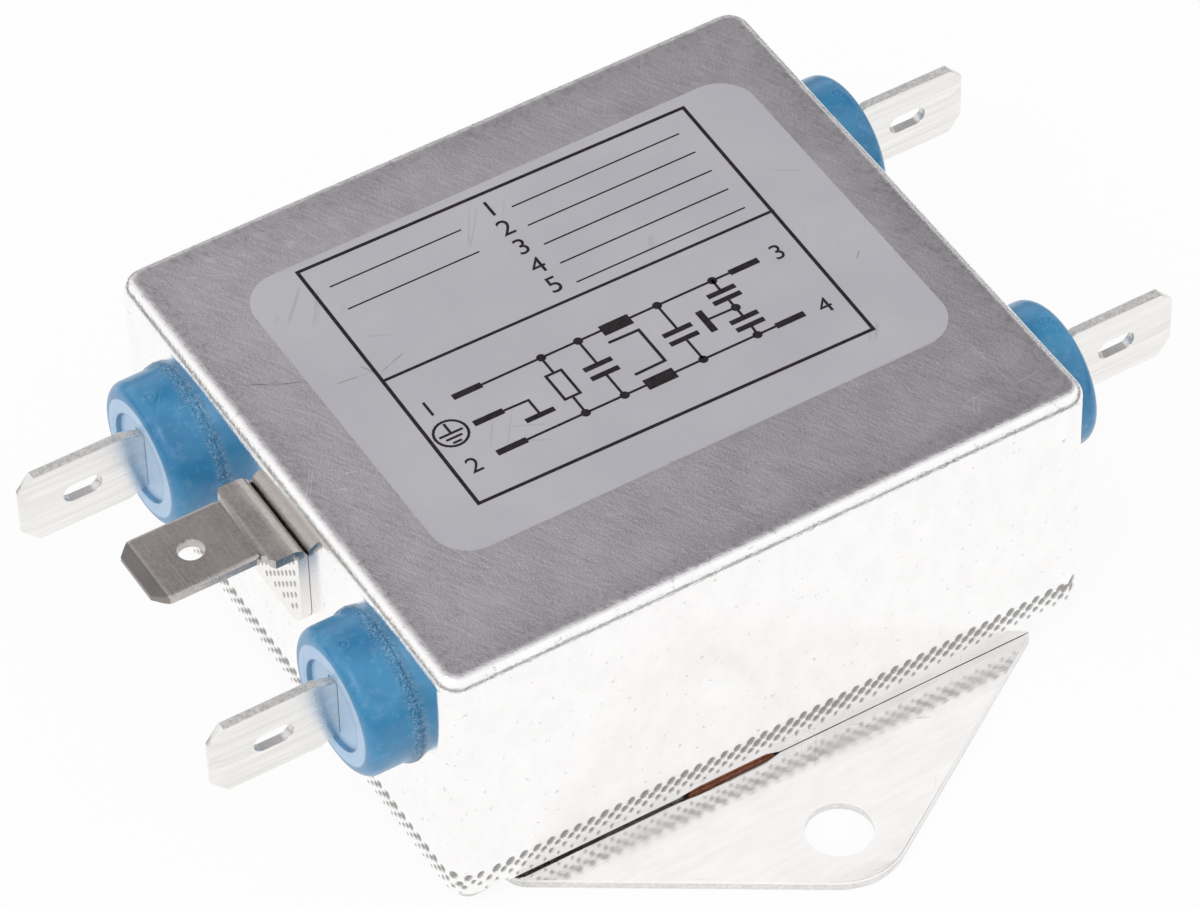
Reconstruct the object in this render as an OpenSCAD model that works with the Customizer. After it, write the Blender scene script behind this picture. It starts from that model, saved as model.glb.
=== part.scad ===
// Mains interference filter in a drawn metal can with tab terminals
// Millimetres, +Z up, +X along the terminals from the line side to the load side
// The origin is the middle of the underside of the base plate

/* [Can] */
// Length of the can along the terminals
can_l = 52.5; // [50.5:0.5:60]
// Width of the can across the terminals
can_w = 47; // [46:0.5:56]
// Height of the can from its rim to its top
can_h = 22.2; // [21:0.1:28]
// Thickness of the can's sheet
can_wall = 0.8; // [0.5:0.1:1]
// Outer radius of the upright corners
can_corner_r = 1.8; // [1.4:0.1:3]
// Outer radius round the top edge
can_top_r = 1.1; // [1.1:0.1:1.4]
// Gap between the base plate and the can's rim
rim_gap = 0.5; // [0.4:0.1:1]

/* [Base plate] */
// Thickness of the base plate and its ears
plate_t = 0.8; // [0.6:0.1:1.2]
// Distance between the two mounting holes
hole_pitch = 63.5; // [62:0.5:76]
// Diameter of the mounting holes
hole_d = 5; // [3.5:0.1:5.5]
// Radius of the ear's nose round its hole
ear_nose_r = 4.95; // [4:0.05:6.5]
// Width of the ears where they leave the can
ear_root_w = 44; // [34:0.5:46]
// Radius of the ear's root corners
ear_root_r = 2; // [1:0.1:3]
// Distance of the root corner's centre from the outside of the can wall, inwards
ear_root_in = 1.17; // [0.5:0.01:1.5]
// Height of the crimp rim that stands on the plate inside the can
crimp_h = 4.2; // [3:0.1:6]

/* [Base insulator] */
// Width of the insulator's tongue that shows below the rim
tongue_w = 7.1; // [4:0.1:12]
// Place of the tongue's middle along the can
tongue_x = -3.65; // [-8:0.05:8]
// How far the tongue stops short of the outside of the wall
tongue_short = 0.15; // [0:0.05:0.5]

/* [Bushings] */
// Diameter of the terminal bushings
bush_d = 11.3; // [9:0.1:12]
// Length of a bushing outside the wall
bush_out = 3.85; // [2:0.05:5]
// Rounding of the bushing's front edge
bush_edge_r = 1; // [0.2:0.1:1.4]
// Distance between the two bushings of one side
bush_pitch = 27.6; // [25:0.1:28.5]
// Height of the bushing's axis above the can's rim
bush_rise = 13.75; // [13:0.05:15]
// Diameter of the bushing's flange inside the can
flange_d = 13.6; // [12.5:0.1:14]
// Thickness of the flange inside the can
flange_t = 1.2; // [0.8:0.1:1.6]
// Diameter of the round recess in the front face
recess_d = 7; // [6:0.1:8]
// Depth of the recess
recess_deep = 0.35; // [0.1:0.05:0.6]

/* [Line and load tabs] */
// Width of a tab blade
tab_w = 6.3; // [4.8:0.1:6.3]
// Thickness of a tab
tab_t = 0.8; // [0.5:0.1:1]
// Reach of a tab from the wall to its tip
tab_out = 13.6; // [12:0.1:16]
// Width of the tab's neck in the bushing
neck_w = 5; // [4.3:0.1:5.5]
// Length of the slope from the neck to the blade
neck_slope = 1.7; // [1:0.1:2]
// Corner chamfer of the tip
tip_cut = 1.2; // [0.5:0.1:1.5]
// Length of the bevel on both faces of the tip
tip_bevel = 1.15; // [0.5:0.05:1.5]
// Thickness left at the end of the bevel
tip_t = 0.4; // [0.2:0.1:0.5]
// Width of the long hole in the blade
slot_w = 1.6; // [1.2:0.1:2]
// Length of the long hole in the blade
slot_l = 3.1; // [2.4:0.1:3.6]
// Distance from the tip to the middle of the long hole
slot_back = 4.95; // [4.5:0.05:5.2]
// Width of the tab's tail inside the can
tail_w = 4; // [3:0.1:4.2]
// Reach of the tail behind the outside of the wall
tail_in = 5.5; // [4.5:0.1:6]
// Diameter of the wire hole in the tail
tail_hole_d = 1.4; // [1:0.1:1.6]

/* [Earth tab] */
// Width of the earth tab's blade
earth_w = 6.3; // [4.8:0.1:6.3]
// Thickness of the earth tab
earth_t = 0.8; // [0.5:0.1:1]
// Reach of the earth tab from the wall to its tip
earth_out = 11.35; // [10:0.05:14]
// Height of the blade's top above the can's rim
earth_rise = 18.75; // [17:0.05:19.5]
// Width of the shoulders and the leg
earth_leg_w = 8.2; // [7.4:0.1:9]
// Length of the shoulders from the wall
shoulder_out = 2.5; // [1.8:0.1:3]
// Radius of the relief notches between shoulder and blade
notch_r = 0.7; // [0.4:0.05:0.8]
// Outer radius of the bend
bend_r = 1.1; // [1.05:0.05:1.6]
// Height of the leg's lower end above the can's rim
leg_rise = 10.5; // [9:0.1:13]
// Radius of the leg's lower corners
leg_corner_r = 1.8; // [1:0.1:2.5]
// Corner chamfer of the earth blade's tip
earth_cut = 1; // [0.5:0.1:1.5]
// Length of the bevel on both faces of the earth blade's tip
earth_bevel = 1.25; // [0.5:0.05:1.5]
// Diameter of the earth blade's round hole
earth_hole_d = 2; // [1.5:0.1:2.4]
// Distance from the tip to the round hole
earth_hole_back = 4.4; // [3.5:0.1:5]

/* [Label] */
// Length of the label along the can
label_l = 41.9; // [30:0.1:46]
// Width of the label across the can
label_w = 30.8; // [24:0.1:34]
// Thickness of the label
label_t = 0.1; // [0.05:0.05:0.2]
// Radius of the label's corners
label_r = 3; // [1:0.1:5]
// Place of the label's middle along the can
label_x = 1.05; // [0:0.05:1.1]
// Place of the label's middle across the can
label_y = 1.8; // [0:0.1:2.5]

/* [Choke] */
// Outer diameter of the ring core
core_d = 24; // [22:0.1:24.4]
// Bore of the ring core
core_bore = 13; // [12:0.1:14]
// Height of the ring core
core_h = 10; // [8:0.1:11]
// Build of a winding on the core
wound_t = 1.5; // [1.2:0.05:1.6]
// Angle that one winding covers
wound_angle = 150; // [120:5:160]
// Thickness of the divider in the core's bore
divider_t = 1.6; // [1:0.1:2]

/* [Capacitors and resistor] */
// Length of an across-the-line capacitor
xcap_l = 18; // [16:0.1:18.5]
// Thickness of an across-the-line capacitor
xcap_t = 7; // [5:0.1:7.2]
// Height of an across-the-line capacitor
xcap_h = 14; // [11:0.1:14.5]
// Radius of the upright edges of an across-the-line capacitor
xcap_r = 0.8; // [0.5:0.1:1.5]
// Radius round the top edge of an across-the-line capacitor
xcap_top_r = 0.4; // [0.1:0.1:0.4]
// Distance of this capacitor's middle from the outside of the end wall
xcap_in = 7.55; // [7.5:0.05:7.7]
// Distance between this capacitor's two legs
xcap_legs = 15; // [14:0.5:15.5]
// Diameter of an earth capacitor's disc
ycap_d = 8.6; // [7:0.1:9]
// Thickness of an earth capacitor's disc
ycap_t = 3.6; // [3:0.1:4]
// Place of the earth capacitors along the can
ycap_x = 9.6; // [9:0.1:10]
// Distance of an earth capacitor's middle from the outside of the side wall
ycap_in = 6.3; // [6.1:0.1:6.5]
// Distance between an earth capacitor's legs
ycap_legs = 5; // [4:0.5:6]
// Length of an earth capacitor's legs
ycap_leg_l = 2.4; // [1.5:0.1:3]
// Diameter of the resistor's body
resistor_d = 2.3; // [1.8:0.1:2.4]
// Length of the resistor's body
resistor_l = 6.5; // [5:0.1:8]
// Distance of the resistor from the outside of the end wall
resistor_in = 5.3; // [5.1:0.05:5.35]

/* [Leads] */
// Diameter of the insulated leads
lead_d = 1; // [0.8:0.05:1.1]
// Diameter of the bare component legs
leg_d = 0.6; // [0.5:0.05:0.7]
// Height of the leads above the across-the-line capacitors
lead_rise = 2.2; // [2:0.1:2.4]
// Place along the can where a lead meets its winding
lead_end_x = 9.4; // [9:0.1:10]
// Place across the can where a lead meets its winding
lead_end_y = 4.6; // [4.4:0.1:5.5]

/* [Hidden] */
$fn = 64;

// Clearance of a seat between two pieces
seat = 0.05;
// Overrun of a cut past the face that it leaves
over = 1;
// Least inner radius that is left under a rounded edge
least_r = 0.1;
// Quarter turn
quarter = 90;
// Size of the ball at a lead's bend as a share of the lead's radius
ball_share = 1.04;

// Half sizes and levels of the can
can_x = can_l / 2;
can_y = can_w / 2;
rim_z = plate_t + rim_gap;
top_z = rim_z + can_h;
in_x = can_x - can_wall;
in_y = can_y - can_wall;
in_corner_r = max(can_corner_r - can_wall, least_r);
in_top_r = max(min(can_top_r, can_corner_r) - can_wall, least_r);

// Outline of the plate and of its crimp rim inside the can
plate_x = in_x - seat;
plate_y = in_y - seat;
plate_r = max(in_corner_r - seat, least_r);
crimp_x = plate_x - plate_t;
crimp_y = plate_y - plate_t;
hole_y = hole_pitch / 2;

// Places of the ear's root corner and of the straight edge to the nose
root_x = ear_root_w / 2 - ear_root_r;
root_y = can_y - ear_root_in;
root_far = norm([root_x, hole_y - root_y]);
root_turn = atan2(root_y - hole_y, root_x);
edge_turn = root_turn + acos((ear_nose_r - ear_root_r) / root_far);

// The insulator lies in the gap below the rim
sheet_t = rim_gap - 2 * seat;
sheet_z = plate_t + seat;
sheet_x = crimp_x - seat;
sheet_y = crimp_y - seat;
tongue_y = can_y - tongue_short;

// Terminals
term_y = bush_pitch / 2;
term_z = rim_z + bush_rise;
bush_in = can_wall + seat + flange_t;

// Earth tab
earth_top = rim_z + earth_rise;
leg_z = rim_z + leg_rise;

// Choke: the windings stand on the insulator and hold the core
wound_z = rim_z;
core_z = wound_z + wound_t + seat;
wound_out_r = core_d / 2 + seat + wound_t;
wound_in_r = core_bore / 2 - seat - wound_t;
wound_h = core_h + 2 * (seat + wound_t);
wound_top = wound_z + wound_h;
wound_gap = (2 * quarter - wound_angle) / 2;

// Capacitors and resistor
xcap_x = can_x - xcap_in;
xcap_top = rim_z + xcap_h;
ycap_y = can_y - ycap_in;
ycap_z = rim_z + ycap_d / 2;
ycap_edge_r = ycap_t / 4;
ycap_leg_z = ycap_z + ycap_d / 2 + ycap_leg_l;
resistor_x = can_x - resistor_in;
resistor_z = xcap_top + seat + resistor_d / 2;
lead_z = xcap_top + lead_rise;
tail_x = can_x - tail_in;

// Outline of a rounded rectangle about the origin
module round_rect(l, w, r) {
    square([l - 2 * r, w], center = true);
    square([l, w - 2 * r], center = true);
    for (sx = [-1, 1], sy = [-1, 1])
        translate([sx * (l / 2 - r), sy * (w / 2 - r)]) circle(r);
}

// Section of a wall edge of reach r and height h whose top corner has radius rt
module edge_section(r, h, rt) {
    square([r, h - rt]);
    square([r - rt, h]);
    translate([r - rt, h - rt]) intersection() {
        circle(rt);
        square(rt);
    }
}

// Box with round upright corners and a round top edge, standing on z = 0
module round_box(l, w, h, r, rt) {
    x = l / 2 - r;
    y = w / 2 - r;
    translate([-x, -y, 0]) cube([2 * x, 2 * y, h]);
    for (s = [0, 1]) rotate([0, 0, 2 * quarter * s]) {
        translate([x, y, 0]) rotate([quarter, 0, 0])
            linear_extrude(2 * y) edge_section(r, h, rt);
        rotate([0, 0, quarter]) translate([y, x, 0]) rotate([quarter, 0, 0])
            linear_extrude(2 * x) edge_section(r, h, rt);
        translate([x, y, 0]) rotate_extrude(angle = quarter) edge_section(r, h, rt);
        translate([x, -y, 0]) rotate([0, 0, -quarter])
            rotate_extrude(angle = quarter) edge_section(r, h, rt);
    }
}

// Round wire through a list of points, with a ball at each bend
module wire(points, d) {
    for (i = [0 : len(points) - 2]) {
        v = points[i + 1] - points[i];
        translate(points[i]) rotate([0, acos(v.z / norm(v)), atan2(v.y, v.x)])
            cylinder(h = norm(v), d = d);
    }
    for (i = [1 : 1 : len(points) - 2])
        translate(points[i]) sphere(d = d * ball_share);
}

// Puts a piece drawn for the load side's +Y corner at the side and row of its terminal
module at_side(side, row) {
    mirror([side < 0 ? 1 : 0, 0, 0]) mirror([0, row < 0 ? 1 : 0, 0]) children();
}

module case_can() color([0.83, 0.82, 0.83]) difference() {
    translate([0, 0, rim_z])
        round_box(can_l, can_w, can_h, can_corner_r, min(can_top_r, can_corner_r));
    translate([0, 0, rim_z])
        round_box(2 * in_x, 2 * in_y, can_h - can_wall, in_corner_r, in_top_r);
    translate([0, 0, rim_z - over])
        linear_extrude(2 * over) round_rect(2 * in_x, 2 * in_y, in_corner_r);
    for (sx = [-1, 1], sy = [-1, 1])
        translate([sx * (in_x - over), sy * term_y, term_z]) rotate([0, sx * quarter, 0])
            cylinder(h = can_wall + 2 * over, d = bush_d + 2 * seat);
}

// One ear in the direction of +Y
module ear_outline() {
    polygon([
        [-root_x, 0],
        [-root_x - ear_root_r * cos(edge_turn) , root_y + ear_root_r * sin(edge_turn)],
        [-ear_nose_r * cos(edge_turn), hole_y + ear_nose_r * sin(edge_turn)],
        [ear_nose_r * cos(edge_turn), hole_y + ear_nose_r * sin(edge_turn)],
        [root_x + ear_root_r * cos(edge_turn), root_y + ear_root_r * sin(edge_turn)],
        [root_x, 0]]);
    translate([-ear_root_w / 2, 0]) square([ear_root_w, root_y]);
    for (sx = [-1, 1]) translate([sx * root_x, root_y]) circle(ear_root_r);
    translate([0, hole_y]) circle(ear_nose_r);
}

module base_plate() color([0.9, 0.89, 0.88]) difference() {
    union() {
        linear_extrude(plate_t) {
            round_rect(2 * plate_x, 2 * plate_y, plate_r);
            ear_outline();
            mirror([0, 1]) ear_outline();
        }
        linear_extrude(plate_t + crimp_h) difference() {
            round_rect(2 * plate_x, 2 * plate_y, plate_r);
            square([2 * crimp_x, 2 * crimp_y], center = true);
        }
    }
    for (sy = [-1, 1]) translate([0, sy * hole_y, -over])
        cylinder(h = plate_t + 2 * over, d = hole_d);
    translate([tongue_x - tongue_w / 2 - seat, -can_y, plate_t])
        cube([tongue_w + 2 * seat, can_y - crimp_y + over, rim_gap]);
}

module base_insulator() color([0.62, 0.33, 0.2]) translate([0, 0, sheet_z]) {
    translate([-sheet_x, -sheet_y, 0]) cube([2 * sheet_x, 2 * sheet_y, sheet_t]);
    translate([tongue_x - tongue_w / 2, -tongue_y, 0]) cube([tongue_w, tongue_y, sheet_t]);
}

// Section of a bushing, radius along X and the way out along Y
module bushing_section() difference() {
    union() {
        translate([0, -bush_in]) square([bush_d / 2, bush_in]);
        edge_section(bush_d / 2, bush_out, bush_edge_r);
        translate([0, -bush_in]) square([flange_d / 2, flange_t]);
    }
    translate([0, bush_out - recess_deep]) square([recess_d / 2, recess_deep + over]);
}

module bushing(side, row) color([0.27, 0.57, 0.77]) at_side(side, row)
    translate([can_x, term_y, term_z]) difference() {
        rotate([0, quarter, 0]) rotate_extrude() bushing_section();
        translate([-bush_in - over, -tab_t / 2 - seat, -neck_w / 2 - seat])
            cube([bush_in + bush_out + 2 * over, tab_t + 2 * seat, neck_w + 2 * seat]);
    }

// Side view of a tab, the way out along X and height along Y
module tab_outline() {
    blade_from = bush_out + neck_slope;
    polygon([
        [-bush_in, -neck_w / 2],
        [bush_out, -neck_w / 2],
        [blade_from, -tab_w / 2],
        [tab_out - tip_cut, -tab_w / 2],
        [tab_out, -tab_w / 2 + tip_cut],
        [tab_out, tab_w / 2 - tip_cut],
        [tab_out - tip_cut, tab_w / 2],
        [blade_from, tab_w / 2],
        [bush_out, neck_w / 2],
        [-bush_in, neck_w / 2]]);
    translate([-tail_in, -tail_w / 2]) square([tail_in, tail_w]);
}

// Top view of a tab, with its thin tip
module tab_thickness() polygon([
    [-tail_in, -tab_t / 2],
    [tab_out - tip_bevel, -tab_t / 2],
    [tab_out, -tip_t / 2],
    [tab_out, tip_t / 2],
    [tab_out - tip_bevel, tab_t / 2],
    [-tail_in, tab_t / 2]]);

module tab(side, row) color([0.86, 0.85, 0.84]) at_side(side, row)
    translate([can_x, term_y, term_z]) difference() {
        intersection() {
            translate([0, tab_t / 2 + over, 0]) rotate([quarter, 0, 0])
                linear_extrude(tab_t + 2 * over) tab_outline();
            translate([0, 0, -tab_w / 2 - over])
                linear_extrude(tab_w + 2 * over) tab_thickness();
        }
        translate([tab_out - slot_back, tab_t / 2 + over, 0]) rotate([quarter, 0, 0])
            linear_extrude(tab_t + 2 * over) {
                square([slot_l - slot_w, slot_w], center = true);
                for (sx = [-1, 1]) translate([sx * (slot_l - slot_w) / 2, 0]) circle(d = slot_w);
            }
        translate([tail_w / 2 - tail_in, tab_t / 2 + over, 0]) rotate([quarter, 0, 0])
            cylinder(h = tab_t + 2 * over, d = tail_hole_d);
    }

// Top view of the earth blade, the way out along X
module earth_outline() difference() {
    polygon([
        [bend_r, -earth_leg_w / 2],
        [shoulder_out, -earth_leg_w / 2],
        [shoulder_out + notch_r, -earth_w / 2],
        [earth_out - earth_cut, -earth_w / 2],
        [earth_out, -earth_w / 2 + earth_cut],
        [earth_out, earth_w / 2 - earth_cut],
        [earth_out - earth_cut, earth_w / 2],
        [shoulder_out + notch_r, earth_w / 2],
        [shoulder_out, earth_leg_w / 2],
        [bend_r, earth_leg_w / 2]]);
    for (sy = [-1, 1]) translate([shoulder_out + notch_r, sy * (earth_w / 2 + notch_r / 2)])
        circle(notch_r);
    translate([earth_out - earth_hole_back, 0]) circle(d = earth_hole_d);
}

module earth_tab() color([0.62, 0.6, 0.58]) mirror([1, 0, 0]) translate([can_x, 0, 0]) {
    intersection() {
        translate([0, 0, earth_top - earth_t - over])
            linear_extrude(earth_t + 2 * over) earth_outline();
        translate([0, earth_leg_w / 2 + over, earth_top]) rotate([quarter, 0, 0])
            linear_extrude(earth_leg_w + 2 * over) polygon([
                [bend_r, -earth_t],
                [earth_out - earth_bevel, -earth_t],
                [earth_out, -(earth_t + tip_t) / 2],
                [earth_out, -(earth_t - tip_t) / 2],
                [earth_out - earth_bevel, 0],
                [bend_r, 0]]);
    }
    translate([bend_r, earth_leg_w / 2, earth_top - bend_r]) rotate([quarter, 0, 0])
        linear_extrude(earth_leg_w) intersection() {
            difference() {
                circle(bend_r);
                circle(bend_r - earth_t);
            }
            translate([-bend_r, 0]) square(bend_r);
        }
    translate([earth_t, 0, 0]) rotate([0, -quarter, 0]) linear_extrude(earth_t)
        intersection() {
            translate([leg_z, -earth_leg_w / 2])
                square([earth_top - bend_r - leg_z, earth_leg_w]);
            translate([leg_z + (earth_top - leg_z) / 2, 0])
                round_rect(earth_top - leg_z, earth_leg_w, leg_corner_r);
        }
}

module rating_label() color([0.69, 0.68, 0.71]) translate([label_x, label_y, top_z])
    linear_extrude(label_t) round_rect(label_l, label_w, label_r);

module choke_core() color([0.25, 0.25, 0.27]) translate([0, 0, core_z])
    rotate_extrude() translate([core_bore / 2, 0])
        square([(core_d - core_bore) / 2, core_h]);

module choke_divider() color([0.93, 0.92, 0.86]) translate([0, 0, wound_z])
    translate([-core_bore / 2 + seat, -divider_t / 2, 0])
        cube([core_bore - 2 * seat, divider_t, wound_h]);

// Half-round sleeve of wound wire about the core
module winding(row) color([0.72, 0.4, 0.22]) mirror([0, row < 0 ? 1 : 0, 0])
    translate([0, 0, wound_z]) rotate([0, 0, wound_gap]) rotate_extrude(angle = wound_angle)
        difference() {
            translate([wound_in_r, 0]) square([wound_out_r - wound_in_r, wound_h]);
            translate([core_bore / 2 - seat, wound_t])
                square([(core_d - core_bore) / 2 + 2 * seat, core_h + 2 * seat]);
        }

module x_capacitor(side) color([0.93, 0.8, 0.3]) at_side(side, 1)
    translate([xcap_x, 0, 0]) {
        translate([0, 0, rim_z]) round_box(xcap_t, xcap_l, xcap_h, xcap_r, xcap_top_r);
        for (sy = [-1, 1]) translate([0, sy * xcap_legs / 2, xcap_top - over])
            cylinder(h = lead_rise + over - lead_d / 2 - seat, d = leg_d);
    }

// Section of a disc capacitor, radius along X and thickness along Y
module ycap_section() {
    edge_section(ycap_d / 2, ycap_t / 2, ycap_edge_r);
    mirror([0, 1]) edge_section(ycap_d / 2, ycap_t / 2, ycap_edge_r);
}

module y_capacitor(row) color([0.24, 0.46, 0.72]) at_side(1, row)
    translate([ycap_x, ycap_y, ycap_z]) {
        rotate([quarter, 0, 0]) rotate_extrude() ycap_section();
        for (sx = [-1, 1]) translate([sx * ycap_legs / 2, 0, 0])
            cylinder(h = ycap_d / 2 + ycap_leg_l, d = leg_d);
    }

module discharge_resistor() color([0.8, 0.72, 0.55])
    translate([-resistor_x, 0, resistor_z]) rotate([quarter, 0, 0]) {
        translate([0, 0, -resistor_l / 2]) cylinder(h = resistor_l, d = resistor_d);
        translate([0, 0, -term_y + tab_t / 2 + seat])
            cylinder(h = 2 * (term_y - tab_t / 2 - seat), d = leg_d);
    }

// Lead from a tab's tail over its capacitor leg and down to its winding
module lead(side, row, shade) color(shade) at_side(side, row) wire([
    [tail_x - seat, term_y, term_z],
    [xcap_x, term_y, term_z],
    [xcap_x, term_y, lead_z],
    [xcap_x, lead_end_y, lead_z],
    [lead_end_x, lead_end_y, lead_z],
    [lead_end_x, lead_end_y, wound_top + seat]], lead_d);

// Lead that joins both earth capacitors and ends at the can's wall
module earth_lead() color([0.42, 0.62, 0.25]) {
    leg_x = ycap_x + ycap_legs / 2;
    cross_z = xcap_top + lead_d;
    wire([
        [leg_x, -ycap_y, ycap_leg_z + seat],
        [leg_x, -ycap_y, cross_z],
        [leg_x, ycap_y, cross_z],
        [leg_x, in_y - seat, cross_z]], leg_d);
    wire([
        [leg_x, ycap_y, cross_z],
        [leg_x, ycap_y, ycap_leg_z + seat]], leg_d);
}

case_can();
base_plate();
base_insulator();
bushing(-1, 1);  // bushing_line_n
bushing(-1, -1);  // bushing_line_l
bushing(1, 1);  // bushing_load_n
bushing(1, -1);  // bushing_load_l
tab(-1, 1);  // tab_line_n
tab(-1, -1);  // tab_line_l
tab(1, 1);  // tab_load_n
tab(1, -1);  // tab_load_l
earth_tab();
rating_label();
choke_core();
choke_divider();
winding(1);  // winding_n
winding(-1);  // winding_l
x_capacitor(-1);  // x_capacitor_line
x_capacitor(1);  // x_capacitor_load
y_capacitor(1);  // y_capacitor_n
y_capacitor(-1);  // y_capacitor_l
discharge_resistor();
lead(-1, 1, [0.25, 0.45, 0.75]);  // lead_line_n
lead(-1, -1, [0.45, 0.3, 0.2]);  // lead_line_l
lead(1, 1, [0.25, 0.45, 0.75]);  // lead_load_n
lead(1, -1, [0.45, 0.3, 0.2]);  // lead_load_l
earth_lead();
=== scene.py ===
# %% [markdown]
# # A mains interference filter in a drawn metal can
# The object is a small metal box that is screwed to a chassis wall. A choke and a few
# capacitors sit inside it, and five push-on tabs stick out of its ends.
# The CAD frame is loaded first, because every piece below takes its place from it.

# %% Load the frame
import math
import random

import bmesh
import bpy
import numpy as np
from mathutils import Matrix, Vector


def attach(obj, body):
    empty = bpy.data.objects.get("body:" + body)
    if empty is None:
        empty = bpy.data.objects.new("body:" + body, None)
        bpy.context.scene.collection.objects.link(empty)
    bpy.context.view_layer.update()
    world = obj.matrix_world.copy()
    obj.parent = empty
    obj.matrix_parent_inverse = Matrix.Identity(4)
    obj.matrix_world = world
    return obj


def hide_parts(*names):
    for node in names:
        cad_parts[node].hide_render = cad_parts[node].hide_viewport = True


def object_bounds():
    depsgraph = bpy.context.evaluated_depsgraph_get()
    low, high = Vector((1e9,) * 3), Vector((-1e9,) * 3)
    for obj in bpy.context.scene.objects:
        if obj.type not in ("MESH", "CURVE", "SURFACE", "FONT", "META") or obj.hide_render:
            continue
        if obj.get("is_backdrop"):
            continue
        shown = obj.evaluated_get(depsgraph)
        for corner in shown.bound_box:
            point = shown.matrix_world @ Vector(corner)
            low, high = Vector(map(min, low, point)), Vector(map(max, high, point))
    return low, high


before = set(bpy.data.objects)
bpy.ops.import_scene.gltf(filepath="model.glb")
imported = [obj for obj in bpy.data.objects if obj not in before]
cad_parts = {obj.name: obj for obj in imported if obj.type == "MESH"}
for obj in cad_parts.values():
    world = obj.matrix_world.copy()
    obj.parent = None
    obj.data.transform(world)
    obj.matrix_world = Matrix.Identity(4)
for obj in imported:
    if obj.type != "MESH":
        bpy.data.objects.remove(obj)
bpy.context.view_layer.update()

# %% Sizes that several pieces share, in millimetres
MM = 0.001
WALL, RIM, TOP = 0.8, 1.3, 23.5     # the can's sheet, its lower rim and its top
HALF_X, HALF_Y = 26.25, 23.5        # half the can's length and width
CORNER_R = 1.8                      # its upright corners
TERM_Y, TERM_Z = 13.8, 15.05        # the tabs' place on the end walls
BUSH_R, BUSH_OUT = 5.65, 3.85       # a bushing's radius and its reach from the wall
RECESS_R, RECESS_DEEP = 3.5, 0.35   # the round recess in its face
PLATE_T = 0.8                       # the base plate's sheet
EARTH_TOP, LEG_FOOT = 20.05, 11.8   # the earth tab's blade and its leg's lower end
print("can", 2 * HALF_X, "x", 2 * HALF_Y, "mm, terminals", 2 * TERM_Y, "mm apart")

# %% [markdown]
# ## The camera
# The photograph was taken from above the corner between the line end and the front ear,
# with a long lens. The place, the turn and the focal length come from a fit to the corners,
# rims and tabs of the can, so the render can be laid over the photograph.

# %% Set up the camera
lens = bpy.data.cameras.new("studio_camera")
lens.sensor_fit, lens.sensor_width, lens.lens = "HORIZONTAL", 36.0, 201.65
lens.clip_start, lens.clip_end = 0.01, 10.0
camera = bpy.data.objects.new("studio_camera", lens)
camera.location = (-0.16612, -0.28602, 0.36484)
camera.rotation_euler = [math.radians(a) for a in (43.0464, 1.1122, -31.3123)]
bpy.context.scene.collection.objects.link(camera)
bpy.context.scene.camera = camera
print("camera", round(camera.location.length * 1000), "mm from the part")

# %% [markdown]
# ## Working by hand in code
# Lengths are written in millimetres and turned into metres in one place. Before each new
# primitive everything is deselected, because an operator acts on all that is selected.
# Faces and edges are picked by where they lie, as one would click on them.

# %% Small helpers for the bench
def mm(x, y, z):
    return Vector((x, y, z)) * MM


def clear_bench():
    if bpy.context.object and bpy.context.object.mode != "OBJECT":
        bpy.ops.object.mode_set(mode="OBJECT")
    bpy.ops.object.select_all(action="DESELECT")


def take(piece):
    clear_bench()
    bpy.context.view_layer.objects.active = piece
    piece.select_set(True)


def block(name, low, high):
    clear_bench()
    low, high = mm(*low), mm(*high)
    bpy.ops.mesh.primitive_cube_add(size=1, location=(low + high) / 2, scale=high - low)
    piece = bpy.context.object
    piece.name = piece.data.name = name
    bpy.ops.object.transform_apply()
    return piece


def rod(name, middle, radius, length, along, sides=48):
    clear_bench()
    turn = {"X": (0, math.pi / 2, 0), "Y": (math.pi / 2, 0, 0), "Z": (0, 0, 0)}[along]
    bpy.ops.mesh.primitive_cylinder_add(
        vertices=sides, radius=radius * MM, depth=length * MM, location=mm(*middle), rotation=turn)
    piece = bpy.context.object
    piece.name = piece.data.name = name
    bpy.ops.object.transform_apply()
    return piece


# %% Pick faces and edges by their place
def edit(piece):
    take(piece)
    bpy.ops.object.mode_set(mode="EDIT")


def done():
    bpy.ops.object.mode_set(mode="OBJECT")


def middle(item):
    """Middle of an edge, a face or a corner, in millimetres."""
    if isinstance(item, bmesh.types.BMVert):
        return item.co / MM
    return sum((v.co for v in item.verts), Vector()) / len(item.verts) / MM


def span(edge):
    """How far an edge runs along X, Y and Z, in millimetres."""
    return [abs(a - b) / MM for a, b in zip(edge.verts[0].co, edge.verts[1].co)]


def pick(kind, test):
    bpy.ops.mesh.select_mode(type=kind)
    bpy.ops.mesh.select_all(action="DESELECT")
    data = bpy.context.object.data
    shape = bmesh.from_edit_mesh(data)
    items = {"VERT": shape.verts, "EDGE": shape.edges, "FACE": shape.faces}[kind]
    found = [item for item in items if test(item)]
    for item in found:
        item.select_set(True)
    bmesh.update_edit_mesh(data)
    return len(found)


def bevel(size, steps):
    bpy.ops.mesh.bevel(offset=size * MM, offset_type="OFFSET", segments=steps, affect="EDGES")


def inset(width):
    bpy.ops.mesh.inset(thickness=width * MM, depth=0)


def draw_out(x, y, z, scale=None, about=None):
    """Extrudes what is selected, and can widen or narrow the new end."""
    bpy.ops.mesh.extrude_region_move(TRANSFORM_OT_translate={"value": mm(x, y, z)})
    if scale:
        bpy.ops.transform.resize(value=scale, center_override=mm(*about))


# %% Cut, join and finish a piece
def combine(piece, other, how="DIFFERENCE"):
    take(piece)
    step = piece.modifiers.new("combine", "BOOLEAN")
    step.operation, step.solver, step.object = how, "EXACT", other
    bpy.ops.object.modifier_apply(modifier=step.name)
    bpy.data.objects.remove(other)


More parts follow.
